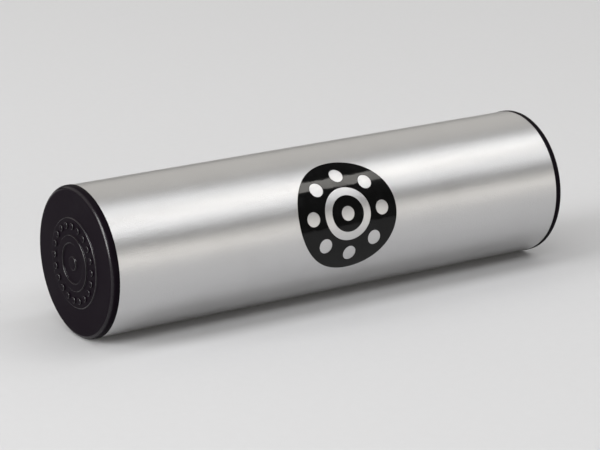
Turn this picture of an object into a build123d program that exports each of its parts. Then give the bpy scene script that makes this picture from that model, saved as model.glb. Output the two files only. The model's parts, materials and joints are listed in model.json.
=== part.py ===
from build123d import *

import math
import os

# A ganza shaker lying on its side: a closed aluminium tube with loose steel shot in it.
# The tube's axis runs along X. The origin is at mid length, on the surface that the cap flanges rest on.
# Lengths are in millimetres and angles in degrees.

# Tube: a straight length of drawn aluminium, cut square
TUBE_DIAMETER = 60.3
TUBE_WALL = 1.5
TUBE_LENGTH = 210.0
TUBE_EDGE_BREAK = 0.25

# End caps: moulded plugs, pushed in until the flange meets the tube's end
FLANGE_THICKNESS = 3.2
FLANGE_OVERHANG = 0.2
FLANGE_EDGE_ROUND = 2.2
PLATE_THICKNESS = 2.2
SKIRT_LENGTH = 14.0
SKIRT_WALL = 2.0
SKIRT_CLEARANCE = 0.15
SKIRT_LEAD_IN = 0.8
RIB_COUNT = 12
RIB_DIAMETER = 1.4
RIB_CRUSH = 0.05

# Medallion on each cap's face, and the raised pattern on it
MEDALLION_DIAMETER = 36.0
MEDALLION_HEIGHT = 0.5
MEDALLION_EDGE_ROUND = 0.4
RELIEF_HEIGHT = 0.6
RELIEF_EDGE_ROUND = 0.3
RELIEF_MARGIN = 1.8
RELIEF_DOT_COUNT = 20
RELIEF_DOT_DIAMETER = 2.6
RELIEF_RING_GAP = 2.4
RELIEF_RING_WIDTH = 3.2
RELIEF_CENTRE_DIAMETER = 5.6

# Roundel: a glossy black film on the tube, with a like pattern left open so that bare metal shows
ROUNDEL_DIAMETER = 46.4
ROUNDEL_THICKNESS = 0.1
ROUNDEL_ELEVATION = 18.4
ROUNDEL_MARGIN = 3.8
ROUNDEL_DOT_COUNT = 8
ROUNDEL_DOT_DIAMETER = 6.0
ROUNDEL_RING_GAP = 2.6
ROUNDEL_RING_WIDTH = 3.4
ROUNDEL_CENTRE_DIAMETER = 6.0
OUTLINE_POINTS = 24

# Shot: loose steel balls, heaped on the bore's lower wall in rows along the tube
SHOT_DIAMETER = 5.0
SHOT_WALL_GAP = 0.15
SHOT_ROW_GAP = 0.2
SHOT_BALL_GAP = 0.05
BED_LENGTH = 86.0
BED_SLOPE = 22.5
ROWS_IN_LAYERS = (9, 7, 3)

TUBE_RADIUS = TUBE_DIAMETER / 2
BORE_RADIUS = TUBE_RADIUS - TUBE_WALL
FLANGE_RADIUS = TUBE_RADIUS + FLANGE_OVERHANG
SKIRT_RADIUS = BORE_RADIUS - SKIRT_CLEARANCE
MEDALLION_RADIUS = MEDALLION_DIAMETER / 2
ROUNDEL_RADIUS = ROUNDEL_DIAMETER / 2
AXIS_HEIGHT = FLANGE_RADIUS
BALL_PITCH = SHOT_DIAMETER + SHOT_BALL_GAP
ROW_PITCH = SHOT_DIAMETER + SHOT_ROW_GAP
WALL_ROW_RADIUS = BORE_RADIUS - SHOT_WALL_GAP - SHOT_DIAMETER / 2


def tube():
    """The open tube, with the sharp edges of both ends broken."""
    shell = Cylinder(TUBE_RADIUS, TUBE_LENGTH) - Cylinder(BORE_RADIUS, TUBE_LENGTH)
    shell = chamfer(shell.edges().filter_by(GeomType.CIRCLE), TUBE_EDGE_BREAK)
    return Pos(0, 0, AXIS_HEIGHT) * (Plane.YZ * shell)


def ring_and_dots(disc, radius, margin, dot_count, dot_diameter, ring_gap, ring_width, centre_diameter):
    """A circle of dots round a ring and a centre dot, drawn with the given kind of disc."""
    dot_circle = radius - margin - dot_diameter / 2
    ring_diameter = 2 * dot_circle - dot_diameter - 2 * ring_gap
    pattern = disc(0, 0, ring_diameter) - disc(0, 0, ring_diameter - 2 * ring_width)
    pattern += disc(0, 0, centre_diameter)
    for index in range(dot_count):
        turn = 2 * math.pi * index / dot_count
        pattern += disc(dot_circle * math.cos(turn), dot_circle * math.sin(turn), dot_diameter)
    return pattern


def flat_disc(x, y, diameter):
    """A round disc on a flat face."""
    return Pos(x, y) * Circle(diameter / 2)


def flange_and_skirt():
    """The cap's hollow plug. Z = 0 is the face that meets the tube's end, and Z points out of the tube."""
    upwards = (Align.CENTER, Align.CENTER, Align.MIN)
    downwards = (Align.CENTER, Align.CENTER, Align.MAX)
    flange = Cylinder(FLANGE_RADIUS, FLANGE_THICKNESS, align=upwards)
    flange = fillet(flange.edges().group_by(Axis.Z)[-1], FLANGE_EDGE_ROUND)
    skirt = Cylinder(SKIRT_RADIUS, SKIRT_LENGTH, align=downwards)
    skirt = chamfer(skirt.edges().group_by(Axis.Z)[0], SKIRT_LEAD_IN)
    hollow_depth = SKIRT_LENGTH + FLANGE_THICKNESS - PLATE_THICKNESS
    hollow = Cylinder(SKIRT_RADIUS - SKIRT_WALL, hollow_depth, align=upwards)
    return flange + skirt - Pos(0, 0, -SKIRT_LENGTH) * hollow


def crush_ribs():
    """Half-round ribs along the skirt, which the bore squeezes to hold the cap."""
    rib_length = SKIRT_LENGTH - SKIRT_LEAD_IN
    rib = Cylinder(RIB_DIAMETER / 2, rib_length, align=(Align.CENTER, Align.CENTER, Align.MAX))
    rib_circle = BORE_RADIUS + RIB_CRUSH - RIB_DIAMETER / 2
    return [place * rib for place in PolarLocations(rib_circle, RIB_COUNT)]


def medallion():
    """The round raised disc on the cap's face, with its raised pattern."""
    disc = extrude(Circle(MEDALLION_RADIUS), MEDALLION_HEIGHT)
    disc = fillet(disc.edges().group_by(Axis.Z)[-1], MEDALLION_EDGE_ROUND)
    pattern = ring_and_dots(
        flat_disc,
        MEDALLION_RADIUS,
        RELIEF_MARGIN,
        RELIEF_DOT_COUNT,
        RELIEF_DOT_DIAMETER,
        RELIEF_RING_GAP,
        RELIEF_RING_WIDTH,
        RELIEF_CENTRE_DIAMETER,
    )
    relief = extrude(pattern, RELIEF_HEIGHT)
    relief = fillet(relief.edges().group_by(Axis.Z)[-1], RELIEF_EDGE_ROUND)
    return Pos(0, 0, FLANGE_THICKNESS) * (disc + Pos(0, 0, MEDALLION_HEIGHT) * relief)


def end_cap(side):
    """One whole cap, seated in the tube's end at -X or +X, where side is -1 or 1."""
    seat = Plane(origin=(side * TUBE_LENGTH / 2, 0, AXIS_HEIGHT), x_dir=(0, 0, 1), z_dir=(side, 0, 0))
    return seat * (flange_and_skirt() + crush_ribs() + medallion())


def wrapped_disc(along, around, diameter):
    """The flat outline that, pushed straight down on the tube, covers a round disc of its curved surface."""
    outline = []
    for index in range(OUTLINE_POINTS):
        turn = 2 * math.pi * index / OUTLINE_POINTS
        arc = around + diameter / 2 * math.sin(turn)
        outline.append((along + diameter / 2 * math.cos(turn), TUBE_RADIUS * math.sin(arc / TUBE_RADIUS)))
    return make_face(Spline(*outline, periodic=True))


def roundel():
    """The film on the tube's outer wall, on the -Y side and a little above the middle."""
    pattern = ring_and_dots(
        wrapped_disc,
        ROUNDEL_RADIUS,
        ROUNDEL_MARGIN,
        ROUNDEL_DOT_COUNT,
        ROUNDEL_DOT_DIAMETER,
        ROUNDEL_RING_GAP,
        ROUNDEL_RING_WIDTH,
        ROUNDEL_CENTRE_DIAMETER,
    )
    outline = wrapped_disc(0, 0, ROUNDEL_DIAMETER) - pattern
    wall = Cylinder(TUBE_RADIUS + ROUNDEL_THICKNESS, TUBE_LENGTH) - Cylinder(TUBE_RADIUS, TUBE_LENGTH)
    film = extrude(outline, TUBE_DIAMETER) & (Plane.YZ * wall)
    rise = math.radians(ROUNDEL_ELEVATION)
    facing = (0, -math.cos(rise), math.sin(rise))
    return Plane(origin=(0, 0, AXIS_HEIGHT), x_dir=(1, 0, 0), z_dir=facing) * film


def shot_row(radius, angle, shift):
    """One row of loose balls along the tube, as long as the heap's slope leaves it at its height."""
    across = radius * math.sin(angle)
    below_axis = radius * math.cos(angle)
    height = WALL_ROW_RADIUS - below_axis
    row_length = BED_LENGTH - 2 * height / math.tan(math.radians(BED_SLOPE))
    count = max(1, math.floor(row_length / BALL_PITCH))
    first = shift - count // 2 * BALL_PITCH
    ball = Sphere(SHOT_DIAMETER / 2)
    places = [Pos(first + index * BALL_PITCH, across, AXIS_HEIGHT - below_axis) for index in range(count)]
    return Compound(children=[place * ball for place in places])


def shot_rows():
    """All rows of the heap, from the lowest one outwards and then up, layer by layer."""
    rows = []
    for layer, row_count in enumerate(ROWS_IN_LAYERS):
        radius = WALL_ROW_RADIUS - layer * ROW_PITCH
        step = 2 * math.asin(ROW_PITCH / 2 / radius)
        middle = (row_count - 1) / 2
        for index in sorted(range(row_count), key=lambda index: abs(index - middle)):
            # neighbouring rows lie half a ball apart along the tube, so that their balls nest
            shift = BALL_PITCH / 4 if index % 2 else -BALL_PITCH / 4
            rows.append(shot_row(radius, (index - middle) * step, shift))
    return rows


nodes = {
    "tube": tube(),
    "left_end_cap": end_cap(-1),
    "right_end_cap": end_cap(1),
    "roundel": roundel(),
}
for number, row in enumerate(shot_rows(), start=1):
    nodes[f"shot_row_{number:02d}"] = row

os.makedirs("parts", exist_ok=True)
for name, shape in nodes.items():
    export_step(shape, f"parts/{name}.step")
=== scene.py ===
import json
import math

import bmesh
import bpy
from mathutils import Matrix, Vector


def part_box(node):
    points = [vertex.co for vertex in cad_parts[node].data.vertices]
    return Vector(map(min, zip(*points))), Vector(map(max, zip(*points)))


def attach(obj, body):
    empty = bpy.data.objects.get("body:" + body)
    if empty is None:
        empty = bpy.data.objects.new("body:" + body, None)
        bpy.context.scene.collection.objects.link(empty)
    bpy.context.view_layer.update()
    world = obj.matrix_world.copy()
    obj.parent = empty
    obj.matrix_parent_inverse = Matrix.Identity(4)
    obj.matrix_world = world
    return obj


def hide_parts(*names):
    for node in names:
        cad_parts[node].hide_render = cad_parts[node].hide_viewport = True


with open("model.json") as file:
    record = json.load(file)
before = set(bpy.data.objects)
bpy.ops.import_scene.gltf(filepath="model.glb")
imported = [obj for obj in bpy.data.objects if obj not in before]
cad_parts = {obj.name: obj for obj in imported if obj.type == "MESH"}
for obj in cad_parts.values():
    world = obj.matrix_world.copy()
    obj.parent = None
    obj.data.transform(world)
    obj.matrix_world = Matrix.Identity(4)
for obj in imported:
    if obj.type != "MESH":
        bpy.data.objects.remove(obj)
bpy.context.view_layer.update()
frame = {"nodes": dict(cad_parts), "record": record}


# Tube: the shaker's body and grip, a square-cut length of drawn aluminium, blasted to a fine satin.
# It is turned from one section, and the edges of both ends are broken so that the caps slide in.
grip = next(mount for mount in frame["record"]["mounts"] if mount["name"] == "tube_grip")
TUBE_RADIUS = grip["dims"]["r_mm"] / 1000
AXIS_HEIGHT = grip["pos_m"][2]
TUBE_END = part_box("tube")[1].x
TUBE_WALL = 0.0015
TUBE_EDGE_BREAK = 0.00025
TURN_STEPS = 240
ROUND_STEPS = 6
SAME_PLACE = 1e-7
SHARP_EDGE = math.radians(40)


def turned(section):
    """A mesh turned round the X axis from the corners of a closed section.

    Each corner is its place along the axis, its distance from the axis, and the radius it is rounded to."""
    mesh = bmesh.new()
    corners = [mesh.verts.new((along, 0, out)) for along, out, _ in section]
    mesh.faces.new(corners)
    for corner, (_, _, radius) in zip(corners, section):
        if radius:
            bmesh.ops.bevel(
                mesh,
                geom=[corner],
                offset=radius,
                affect="VERTICES",
                segments=ROUND_STEPS,
                profile=0.5,
                material=-1,
            )
    bmesh.ops.delete(mesh, geom=mesh.faces[:], context="FACES_ONLY")
    on_axis = [edge for edge in mesh.edges if all(vert.co.z < SAME_PLACE for vert in edge.verts)]
    bmesh.ops.delete(mesh, geom=on_axis, context="EDGES")
    bmesh.ops.spin(
        mesh,
        geom=mesh.verts[:] + mesh.edges[:],
        cent=(0, 0, 0),
        axis=(1, 0, 0),
        angle=math.tau,
        steps=TURN_STEPS,
        use_merge=True,
    )
    bmesh.ops.remove_doubles(mesh, verts=mesh.verts, dist=SAME_PLACE)
    bmesh.ops.recalc_face_normals(mesh, faces=mesh.faces)
    return mesh


def add_piece(name, mesh, material, body, node):
    """The finished mesh, lifted from the X axis to the tube's, as a piece that stands for a node."""
    bmesh.ops.translate(mesh, verts=mesh.verts, vec=(0, 0, AXIS_HEIGHT))
    data = bpy.data.meshes.new(name)
    mesh.to_mesh(data)
    mesh.free()
    data.materials.append(material)
    data.shade_smooth()
    data.set_sharp_from_angle(angle=SHARP_EDGE)
    piece = bpy.data.objects.new(name, data)
    bpy.context.scene.collection.objects.link(piece)
    piece.modifiers.new("even_shading", "WEIGHTED_NORMAL").keep_sharp = True
    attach(piece, body)
    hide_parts(node)


class Field:
    """What a node gives at each point of a surface. Arithmetic on fields adds Math nodes."""

    def __init__(self, tree, socket):
        self.tree = tree
        self.socket = socket

    def feed(self, node, inputs):
        """Links the fields to the node's inputs, and sets its other inputs to plain values."""
        for name, value in inputs.items():
            if isinstance(value, Field):
                self.tree.links.new(value.socket, node.inputs[name])
            else:
                node.inputs[name].default_value = value

    def node(self, kind, settings, inputs, output=0):
        """The output of a new node, made with these settings and then these inputs."""
        node = self.tree.nodes.new(kind)
        for setting, value in settings.items():
            setattr(node, setting, value)
        self.feed(node, inputs)
        return Field(self.tree, node.outputs[output])

    def math(self, operation, *values):
        """The output of a Math node on these fields and numbers."""
        return self.node("ShaderNodeMath", {"operation": operation}, dict(enumerate(values)))

    def __add__(self, other):
        return self.math("ADD", self, other)

    def __sub__(self, other):
        return self.math("SUBTRACT", self, other)

    def __rsub__(self, other):
        return self.math("SUBTRACT", other, self)

    def __mul__(self, other):
        return self.math("MULTIPLY", self, other)

    __radd__ = __add__
    __rmul__ = __mul__

    def stretched(self, along, across):
        """These points, with patterns drawn out along the tube where along is below across."""
        return self.node("ShaderNodeMapping", {}, {"Vector": self, "Scale": (along, across, across)})

    def noise(self, size, detail=2.0):
        """Soft random values about 0.5, in grains of that size in metres."""
        return self.node("ShaderNodeTexNoise", {}, {"Vector": self, "Scale": 1 / size, "Detail": detail})

    def rise(self, low, high):
        """0 up to the low value and 1 from the high one, with an eased slope between them."""
        limits = {"Value": self, "From Min": low, "From Max": high}
        return self.node("ShaderNodeMapRange", {"interpolation_type": "SMOOTHSTEP"}, limits)

    def blend(self, first, second):
        """The first colour where this is 0 and the second where it is 1."""
        return self.node("ShaderNodeMix", {"data_type": "RGBA"}, {0: self, 6: first, 7: second}, 2)

    def bump(self, depth):
        """A normal for the surface with this as its height, 0 to 1 being that depth in metres."""
        return self.node("ShaderNodeBump", {}, {"Height": self, "Distance": depth})


def new_finish(name):
    """An unset material, its surface shader, and the field of points in metres on the shaker."""
    material = bpy.data.materials.new(name)
    material.use_nodes = True
    tree = material.node_tree
    points = Field(tree, tree.nodes.new("ShaderNodeTexCoord").outputs["Object"])
    return material, tree.nodes["Principled BSDF"], points


SATIN_COLOUR = (0.609, 0.607, 0.609, 1)
HANDLED_COLOUR = (0.557, 0.555, 0.556, 1)
HANDLED_ALL_OVER = 0.3
HANDLED_IN_PATCHES = 0.4
HANDLED_PATCH_SIZE = 0.028
HANDLED_PATCH_LIMITS = (0.45, 0.75)
HANDLED_POLISH = 0.012
SATIN_ROUGHNESS = 0.32
GRAIN_SIZE = 0.0005
GRAIN_DEPTH = 0.00008
GRAIN_ROUGHNESS = 0.05
DRAWN_OUT = 0.8

satin, surface, points = new_finish("satin_aluminium")
grain = points.stretched(DRAWN_OUT, 1).noise(GRAIN_SIZE, detail=3)
handling = points.noise(HANDLED_PATCH_SIZE, detail=3).rise(*HANDLED_PATCH_LIMITS)
handled = HANDLED_ALL_OVER + handling * HANDLED_IN_PATCHES
points.feed(
    surface,
    {
        "Metallic": 1.0,
        "Base Color": handled.blend(SATIN_COLOUR, HANDLED_COLOUR),
        "Roughness": SATIN_ROUGHNESS + (grain - 0.5) * GRAIN_ROUGHNESS - handling * HANDLED_POLISH,
        "Normal": grain.bump(GRAIN_DEPTH),
    },
)
tube_section = [
    (-TUBE_END, TUBE_RADIUS, TUBE_EDGE_BREAK),
    (TUBE_END, TUBE_RADIUS, TUBE_EDGE_BREAK),
    (TUBE_END, TUBE_RADIUS - TUBE_WALL, TUBE_EDGE_BREAK),
    (-TUBE_END, TUBE_RADIUS - TUBE_WALL, TUBE_EDGE_BREAK),
]
add_piece("satin_tube", turned(tube_section), satin, "shaker_body", "tube")


# Roundel: a gloss black film on the tube's front, a little above its middle.
# It is cut flat, with a ring and dots left open so that bare metal shows, and is then wrapped on the tube.
ROUNDEL_RADIUS = 0.0232
ROUNDEL_THICKNESS = 0.0001
ROUNDEL_ELEVATION = math.radians(18.4)
ROUNDEL_DOT_COUNT = 8
ROUNDEL_DOT_RADIUS = 0.003
ROUNDEL_DOT_CIRCLE = 0.0164
ROUNDEL_RING_OUTSIDE = 0.0108
ROUNDEL_RING_INSIDE = 0.0074
ROUNDEL_CENTRE_RADIUS = 0.003
EDGE_STEP = 0.0006
WRAP_STEP = 0.0012


def cut_line(sheet, radius, along=0, around=0):
    """The edges of a circle on a flat sheet."""
    circle = bmesh.ops.create_circle(
        sheet,
        radius=radius,
        segments=round(math.tau * radius / EDGE_STEP),
        matrix=Matrix.Translation((along, around, 0)),
    )
    return list({edge for vert in circle["verts"] for edge in vert.link_edges})


film = bmesh.new()
outer_lines = cut_line(film, ROUNDEL_RADIUS) + cut_line(film, ROUNDEL_RING_OUTSIDE)
for index in range(ROUNDEL_DOT_COUNT):
    turn = math.tau * index / ROUNDEL_DOT_COUNT
    along = ROUNDEL_DOT_CIRCLE * math.cos(turn)
    around = ROUNDEL_DOT_CIRCLE * math.sin(turn)
    outer_lines += cut_line(film, ROUNDEL_DOT_RADIUS, along, around)
inner_lines = cut_line(film, ROUNDEL_RING_INSIDE) + cut_line(film, ROUNDEL_CENTRE_RADIUS)
for lines in (outer_lines, inner_lines):
    bmesh.ops.triangle_fill(film, edges=lines, use_beauty=True, normal=(0, 0, 1))
for across in ((1, 0, 0), (0, 1, 0)):
    for step in range(1, math.ceil(2 * ROUNDEL_RADIUS / WRAP_STEP)):
        bmesh.ops.bisect_plane(
            film,
            geom=film.verts[:] + film.edges[:] + film.faces[:],
            plane_co=Vector(across) * (step * WRAP_STEP - ROUNDEL_RADIUS),
            plane_no=across,
        )
front = bmesh.ops.extrude_face_region(film, geom=film.faces[:], use_keep_orig=True)
front_verts = [item for item in front["geom"] if isinstance(item, bmesh.types.BMVert)]
bmesh.ops.translate(film, verts=front_verts, vec=(0, 0, ROUNDEL_THICKNESS))
bmesh.ops.recalc_face_normals(film, faces=film.faces)
for vert in film.verts:
    along, around, lift = vert.co
    turn = ROUNDEL_ELEVATION + around / TUBE_RADIUS
    out = TUBE_RADIUS + lift
    vert.co = (along, -out * math.cos(turn), out * math.sin(turn))

FILM_COLOUR = (0.004, 0.004, 0.004, 1)
TOUCHED_COLOUR = (0.006, 0.006, 0.0062, 1)
TOUCH_SIZE = 0.006
TOUCH_LIMITS = (0.4, 0.8)
FILM_ROUGHNESS = 0.07
TOUCH_ROUGHNESS = 0.05
FILM_WAVE_SIZE = 0.0012
FILM_WAVE_DEPTH = 0.000001

gloss_black, surface, points = new_finish("gloss_black_film")
touch = points.noise(TOUCH_SIZE, detail=3).rise(*TOUCH_LIMITS)
points.feed(
    surface,
    {
        "Base Color": touch.blend(FILM_COLOUR, TOUCHED_COLOUR),
        "Roughness": FILM_ROUGHNESS + touch * TOUCH_ROUGHNESS,
        "IOR": 1.31,
        "Normal": points.noise(FILM_WAVE_SIZE).bump(FILM_WAVE_DEPTH),
    },
)
add_piece("roundel_film", film, gloss_black, "shaker_body", "roundel")


# Shot: loose steel balls, tumbled smooth, that lie in a heap on the bore's lower wall.
# Each row of the heap along the tube is one piece, made from one ball and repeated at the balls' pitch.
SHOT_RADIUS = 0.0025
BALL_PITCH = 0.00505
BALL_CUTS = 2
STEEL_COLOUR = (0.5, 0.5, 0.505, 1)
RUBBED_COLOUR = (0.62, 0.62, 0.625, 1)
RUBBED_LIMITS = (0.35, 0.7)
STEEL_ROUGHNESS = 0.22
SCUFF_ROUGHNESS = 0.2
SCUFF_SIZE = 0.0007
SCUFF_DEPTH = 0.00001

steel, surface, points = new_finish("tumbled_steel")
scuffs = points.noise(SCUFF_SIZE, detail=4)
points.feed(
    surface,
    {
        "Metallic": 1.0,
        "Base Color": scuffs.rise(*RUBBED_LIMITS).blend(STEEL_COLOUR, RUBBED_COLOUR),
        "Roughness": STEEL_ROUGHNESS + scuffs * SCUFF_ROUGHNESS,
        "Normal": scuffs.bump(SCUFF_DEPTH),
    },
)
for row in sorted(name for name in frame["nodes"] if name.startswith("shot_row")):
    low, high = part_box(row)
    repeats = round((high.x - low.x - 2 * SHOT_RADIUS) / BALL_PITCH)
    first = Vector((low.x + SHOT_RADIUS, (low.y + high.y) / 2, (low.z + high.z) / 2 - AXIS_HEIGHT))
    balls = bmesh.new()
    bmesh.ops.create_cube(balls, size=2 * SHOT_RADIUS)
    bmesh.ops.subdivide_edges(balls, edges=balls.edges[:], cuts=BALL_CUTS, use_grid_fill=True)
    for vert in balls.verts:
        vert.co = first + vert.co.normalized() * SHOT_RADIUS
    if repeats:
        bmesh.ops.spin(
            balls,
            geom=balls.verts[:] + balls.edges[:] + balls.faces[:],
            axis=(1, 0, 0),
            dvec=(BALL_PITCH, 0, 0),
            angle=0,
            steps=repeats,
            use_duplicate=True,
        )
    add_piece(row.replace("shot_row", "steel_shot"), balls, steel, row, row)


# End caps: two black moulded plugs, pressed into the tube on crush ribs until their flanges meet its ends.
# Each is turned from one section, with a medallion on its face that has a ring and a circle of dots on it.
FLANGE_RADIUS = 0.03035
FLANGE_THICKNESS = 0.0032
FLANGE_EDGE_ROUND = 0.0022
PLATE_THICKNESS = 0.0022
PLATE_CORNER_ROUND = 0.0005
SKIRT_RADIUS = 0.0285
SKIRT_LENGTH = 0.014
SKIRT_WALL = 0.002
SKIRT_LEAD_IN = 0.0008
RIB_COUNT = 12
RIB_TOP_RADIUS = 0.0287
MEDALLION_RADIUS = 0.018
MEDALLION_HEIGHT = 0.0005
MEDALLION_EDGE_ROUND = 0.0004
RELIEF_HEIGHT = 0.0006
RELIEF_EDGE_ROUND = 0.0003
RELIEF_RING_OUTSIDE = 0.0112
RELIEF_RING_INSIDE = 0.008
RELIEF_CENTRE_RADIUS = 0.0028
RELIEF_DOT_COUNT = 20
RELIEF_DOT_RADIUS = 0.0013
RELIEF_DOT_CIRCLE = 0.0149
RELIEF_DOT_SIDES = 28
DOT_BAND_INSIDE = 0.0132
DOT_BAND_OUTSIDE = 0.0166
MOULD_ROUND = 0.0001

face = -(TUBE_END + FLANGE_THICKNESS)
medal = face - MEDALLION_HEIGHT
relief = medal - RELIEF_HEIGHT
plate = face + PLATE_THICKNESS
skirt_end = SKIRT_LENGTH - TUBE_END
cap_section = [
    (relief, 0, 0),
    (relief, RELIEF_CENTRE_RADIUS, RELIEF_EDGE_ROUND),
    (medal, RELIEF_CENTRE_RADIUS, MOULD_ROUND),
    (medal, RELIEF_RING_INSIDE, MOULD_ROUND),
    (relief, RELIEF_RING_INSIDE, RELIEF_EDGE_ROUND),
    (relief, RELIEF_RING_OUTSIDE, RELIEF_EDGE_ROUND),
    (medal, RELIEF_RING_OUTSIDE, MOULD_ROUND),
    (medal, DOT_BAND_INSIDE, 0),
    (medal, DOT_BAND_OUTSIDE, 0),
    (medal, MEDALLION_RADIUS, MEDALLION_EDGE_ROUND),
    (face, MEDALLION_RADIUS, MOULD_ROUND),
    (face, FLANGE_RADIUS, FLANGE_EDGE_ROUND),
    (-TUBE_END, FLANGE_RADIUS, MOULD_ROUND),
    (-TUBE_END, SKIRT_RADIUS, 0),
    (skirt_end, SKIRT_RADIUS, SKIRT_LEAD_IN),
    (skirt_end, SKIRT_RADIUS - SKIRT_WALL, MOULD_ROUND),
    (plate, SKIRT_RADIUS - SKIRT_WALL, PLATE_CORNER_ROUND),
    (plate, 0, 0),
]


def out_from_axis(vert):
    """A point's distance from the axis that the caps are turned round."""
    return math.hypot(vert.co.y, vert.co.z)


def in_dot_band(vert):
    """Whether a point is on the flat band that the section leaves for the dots."""
    on_top = abs(vert.co.x - medal) < SAME_PLACE
    out = out_from_axis(vert)
    return on_top and DOT_BAND_INSIDE - SAME_PLACE < out < DOT_BAND_OUTSIDE + SAME_PLACE


def add_dots(cap):
    """Raises the circle of dots from the flat band, and closes the band round them."""
    band = [item for item in cap.faces if all(in_dot_band(vert) for vert in item.verts)]
    bmesh.ops.delete(cap, geom=band, context="FACES")
    top_of_circle = Matrix.Translation(((medal + relief) / 2, 0, RELIEF_DOT_CIRCLE))
    lying = top_of_circle @ Matrix.Rotation(-math.pi / 2, 4, "Y")
    rims = []
    for index in range(RELIEF_DOT_COUNT):
        dot = bmesh.ops.create_cone(
            cap,
            cap_ends=True,
            segments=RELIEF_DOT_SIDES,
            radius1=RELIEF_DOT_RADIUS,
            radius2=RELIEF_DOT_RADIUS,
            depth=RELIEF_HEIGHT,
            matrix=Matrix.Rotation(math.tau * index / RELIEF_DOT_COUNT, 4, "X") @ lying,
        )
        base = [vert for vert in dot["verts"] if abs(vert.co.x - medal) < SAME_PLACE]
        top = [vert for vert in dot["verts"] if vert not in base]
        underside = max(base[0].link_faces, key=lambda item: len(item.verts))
        bmesh.ops.delete(cap, geom=[underside], context="FACES")
        rims += [edge for edge in cap.edges if edge.verts[0] in top and edge.verts[1] in top]
    bmesh.ops.bevel(
        cap,
        geom=rims,
        offset=RELIEF_EDGE_ROUND,
        affect="EDGES",
        segments=ROUND_STEPS // 2,
        profile=0.5,
        material=-1,
    )
    open_edges = [edge for edge in cap.edges if edge.is_boundary]
    bmesh.ops.triangle_fill(cap, edges=open_edges, use_beauty=True, normal=(-1, 0, 0))


def add_ribs(cap):
    """Lifts lines of the skirt's wall to the ribs' height, evenly round it."""
    rib_turn = math.tau / RIB_COUNT
    for vert in cap.verts:
        turns = math.atan2(vert.co.y, vert.co.z) / rib_turn
        on_line = abs(turns - round(turns)) < 1 / TURN_STEPS
        in_tube = vert.co.x > -TUBE_END - SAME_PLACE
        on_wall = abs(out_from_axis(vert) - SKIRT_RADIUS) < SAME_PLACE
        if on_line and in_tube and on_wall:
            vert.co.yz *= RIB_TOP_RADIUS / SKIRT_RADIUS


PLASTIC_COLOUR = (0.0048, 0.0028, 0.0051, 1)
RUBBED_PLASTIC_COLOUR = (0.01, 0.0088, 0.0104, 1)
RUBBED_SHARE = 0.35
RUBBED_PATCH_SIZE = 0.008
RUBBED_PATCH_LIMITS = (0.4, 0.75)
RUBBED_ROUGHNESS = 0.06
PLASTIC_ROUGHNESS = 0.42
TEXTURE_SIZE = 0.00035
TEXTURE_DEPTH = 0.00003
TEXTURE_ROUGHNESS = 0.2
MEDALLION_FADE = 1.05 * MEDALLION_RADIUS
LIP_FACING = (0.5, 0.8)
LIP_POLISH = 0.6
RELIEF_FACING = (0.15, 0.4)
RELIEF_POLISH = 1.15
FLAT_FACING = (0.93, 0.99)

moulded, surface, points = new_finish("moulded_black")
texture = points.noise(TEXTURE_SIZE, detail=3)
patches = points.noise(RUBBED_PATCH_SIZE, detail=3).rise(*RUBBED_PATCH_LIMITS)

# The plastic is polished only where the flange's face turns over into its lip, and on the relief's edges.
# How far a point faces along the tube tells these from the flat face, at 1, and the flange's side, at 0.
normal = points.node("ShaderNodeTexCoord", {}, {}, "Normal")
along_tube = points.node("ShaderNodeSeparateXYZ", {}, {0: normal})
facing = along_tube.math("ABSOLUTE", along_tube)
across, height = (points.node("ShaderNodeSeparateXYZ", {}, {0: points}, axis) for axis in "YZ")
squares = across * across + (height - AXIS_HEIGHT) * (height - AXIS_HEIGHT)
on_medallion = 1 - squares.math("SQRT", squares).rise(MEDALLION_RADIUS, MEDALLION_FADE)
lip = facing.rise(*LIP_FACING) * (1 - on_medallion) * LIP_POLISH
relief_edges = facing.rise(*RELIEF_FACING) * on_medallion * RELIEF_POLISH
polished = (lip + relief_edges) * (1 - facing.rise(*FLAT_FACING))
points.feed(
    surface,
    {
        "Base Color": (patches * RUBBED_SHARE).blend(PLASTIC_COLOUR, RUBBED_PLASTIC_COLOUR),
        "Roughness": PLASTIC_ROUGHNESS + (texture - 0.5) * TEXTURE_ROUGHNESS + patches * RUBBED_ROUGHNESS,
        "Specular IOR Level": 0.02,
        "Coat Weight": polished * (texture * 2),
        "Coat Roughness": 0.2,
        "Normal": texture.bump(TEXTURE_DEPTH),
    },
)
for name, turn in (("left", 0), ("right", math.pi)):
    cap = turned(cap_section)
    add_dots(cap)
    add_ribs(cap)
    bmesh.ops.recalc_face_normals(cap, faces=cap.faces)
    bmesh.ops.rotate(cap, verts=cap.verts, cent=(0, 0, 0), matrix=Matrix.Rotation(turn, 3, "Z"))
    add_piece(f"{name}_cap", cap, moulded, "shaker_body", f"{name}_end_cap")


# Floor: a wide, plain, pale sheet of paper that the shaker lies on.
# It runs on past the edge of every view.
FLOOR_RADIUS = 40
FLOOR_SIDES = 64
PAPER_COLOUR = (0.59, 0.59, 0.595, 1)
FIBRE_COLOUR = (0.605, 0.605, 0.61, 1)
FIBRE_SIZE = 0.004

paper, surface, points = new_finish("pale_paper")
points.feed(
    surface,
    {
        "Base Color": points.noise(FIBRE_SIZE).blend(PAPER_COLOUR, FIBRE_COLOUR),
        "Roughness": 0.9,
        "Specular IOR Level": 0.1,
    },
)
sheet = bmesh.new()
bmesh.ops.create_circle(sheet, cap_ends=True, segments=FLOOR_SIDES, radius=FLOOR_RADIUS)
data = bpy.data.meshes.new("floor")
sheet.to_mesh(data)
sheet.free()
data.materials.append(paper)
floor = bpy.data.objects.new("floor", data)
bpy.context.scene.collection.objects.link(floor)


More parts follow.
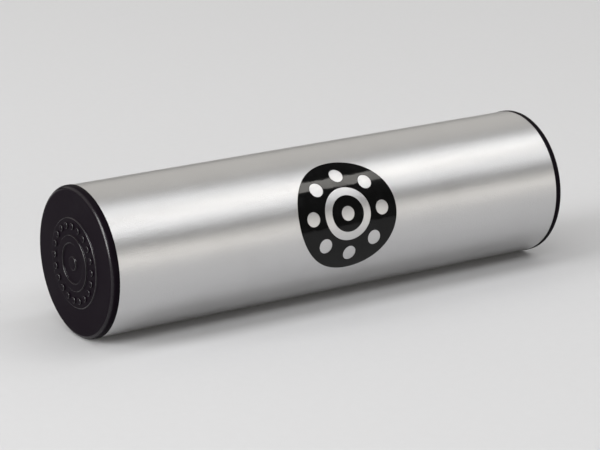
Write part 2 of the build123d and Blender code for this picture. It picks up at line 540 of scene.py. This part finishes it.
# Lamps: two rows of soft boxes overhead and a row of low panels in front, each with a gap to the right.
# The roundel mirrors the gaps and stays black, apart from a short bright box between the overhead rows.
# A soft box behind lights the far side, another lights the left end, and the room round them is dim.
ROW_DISTANCE = 3
OVERHEAD_ENDS = (-5, 5)
OVERHEAD_GAP = (1.62, 2.12)
PANEL_ENDS = (-1.72, 5.2)
PANEL_GAP = (1.58, 2.14)
WHITE = (1, 1, 1)
WARM = (1, 0.97, 0.92)
COOL = (0.985, 0.99, 1)
ROOM_COLOUR = (0.03, 0.03, 0.03, 1)


def direction(turn, rise):
    """The way from the shaker at an angle round it, 0 in front and 90 at its right end, and an angle up."""
    turn = math.radians(turn)
    rise = math.radians(rise)
    return Vector((math.sin(turn) * math.cos(rise), -math.cos(turn) * math.cos(rise), math.sin(rise)))


def add_softbox(name, turn, rise, distance, length, width, radiance, along=0, colour=WHITE):
    """A soft lamp that way from a place along the tube, and aimed at it."""
    data = bpy.data.lights.new(name, "AREA")
    data.shape = "RECTANGLE"
    data.size = length
    data.size_y = width
    data.energy = radiance * math.pi * length * width
    data.color = colour
    lamp = bpy.data.objects.new(name, data)
    lamp.location = Vector((along, 0, AXIS_HEIGHT)) + direction(turn, rise) * distance
    lamp.rotation_euler = direction(turn, rise).to_track_quat("Z", "Y").to_euler()
    lamp.visible_camera = False
    bpy.context.scene.collection.objects.link(lamp)


def add_row(name, rise, width, radiance, ends, gap, colour):
    """Two soft lamps in a row along the tube, which reaches from end to end but for a gap."""
    for part, start, stop in ((1, ends[0], gap[0]), (2, gap[1], ends[1])):
        middle = (start + stop) / 2
        add_softbox(f"{name}_{part}", 0, rise, ROW_DISTANCE, stop - start, width, radiance, middle, colour)


add_row("overhead_back", 87, 1.1, radiance=2.2, ends=OVERHEAD_ENDS, gap=OVERHEAD_GAP, colour=COOL)
add_row("overhead_front", 52, 1.0, radiance=2.25, ends=OVERHEAD_ENDS, gap=OVERHEAD_GAP, colour=COOL)
add_softbox("overhead_tube", 0, 69.5, ROW_DISTANCE, 0.36, 0.85, radiance=7.6, along=1.86, colour=WARM)
add_row("front_panel", 10.5, 1.1, radiance=1.85, ends=PANEL_ENDS, gap=PANEL_GAP, colour=WARM)
add_softbox("back_box", 180, 41, ROW_DISTANCE, length=10, width=3.6, radiance=0.68, colour=WARM)
add_softbox("left_box", -94, 17, distance=2.5, length=1.1, width=1.5, radiance=12.5)
room = bpy.data.worlds.new("room")
room.use_nodes = True
room.node_tree.nodes["Background"].inputs["Color"].default_value = ROOM_COLOUR
bpy.context.scene.world = room
bpy.context.scene.view_settings.view_transform = "Standard"


# Camera: in front of the shaker, to its left and above it, as in the photograph, and not tilted sideways.
# Its shift puts the middle of the tube on the pixel where the photograph has it.
VIEW_TURN = -33.31
VIEW_RISE = 16.66
VIEW_DISTANCE = 1.0301
PHOTO_SIZE = (600, 450)
FOCAL_PIXELS = 2521.4
MIDDLE_PIXEL = (308.73, 219.02)

view = direction(VIEW_TURN, VIEW_RISE)
lens = bpy.data.cameras.new("camera")
lens.lens = FOCAL_PIXELS / PHOTO_SIZE[0] * lens.sensor_width
lens.shift_x = (PHOTO_SIZE[0] / 2 - MIDDLE_PIXEL[0]) / PHOTO_SIZE[0]
lens.shift_y = (MIDDLE_PIXEL[1] - PHOTO_SIZE[1] / 2) / PHOTO_SIZE[0]
camera = bpy.data.objects.new("camera", lens)
camera.location = Vector((0, 0, AXIS_HEIGHT)) + view * VIEW_DISTANCE
camera.rotation_euler = view.to_track_quat("Z", "Y").to_euler()
bpy.context.scene.collection.objects.link(camera)
bpy.context.scene.camera = camera
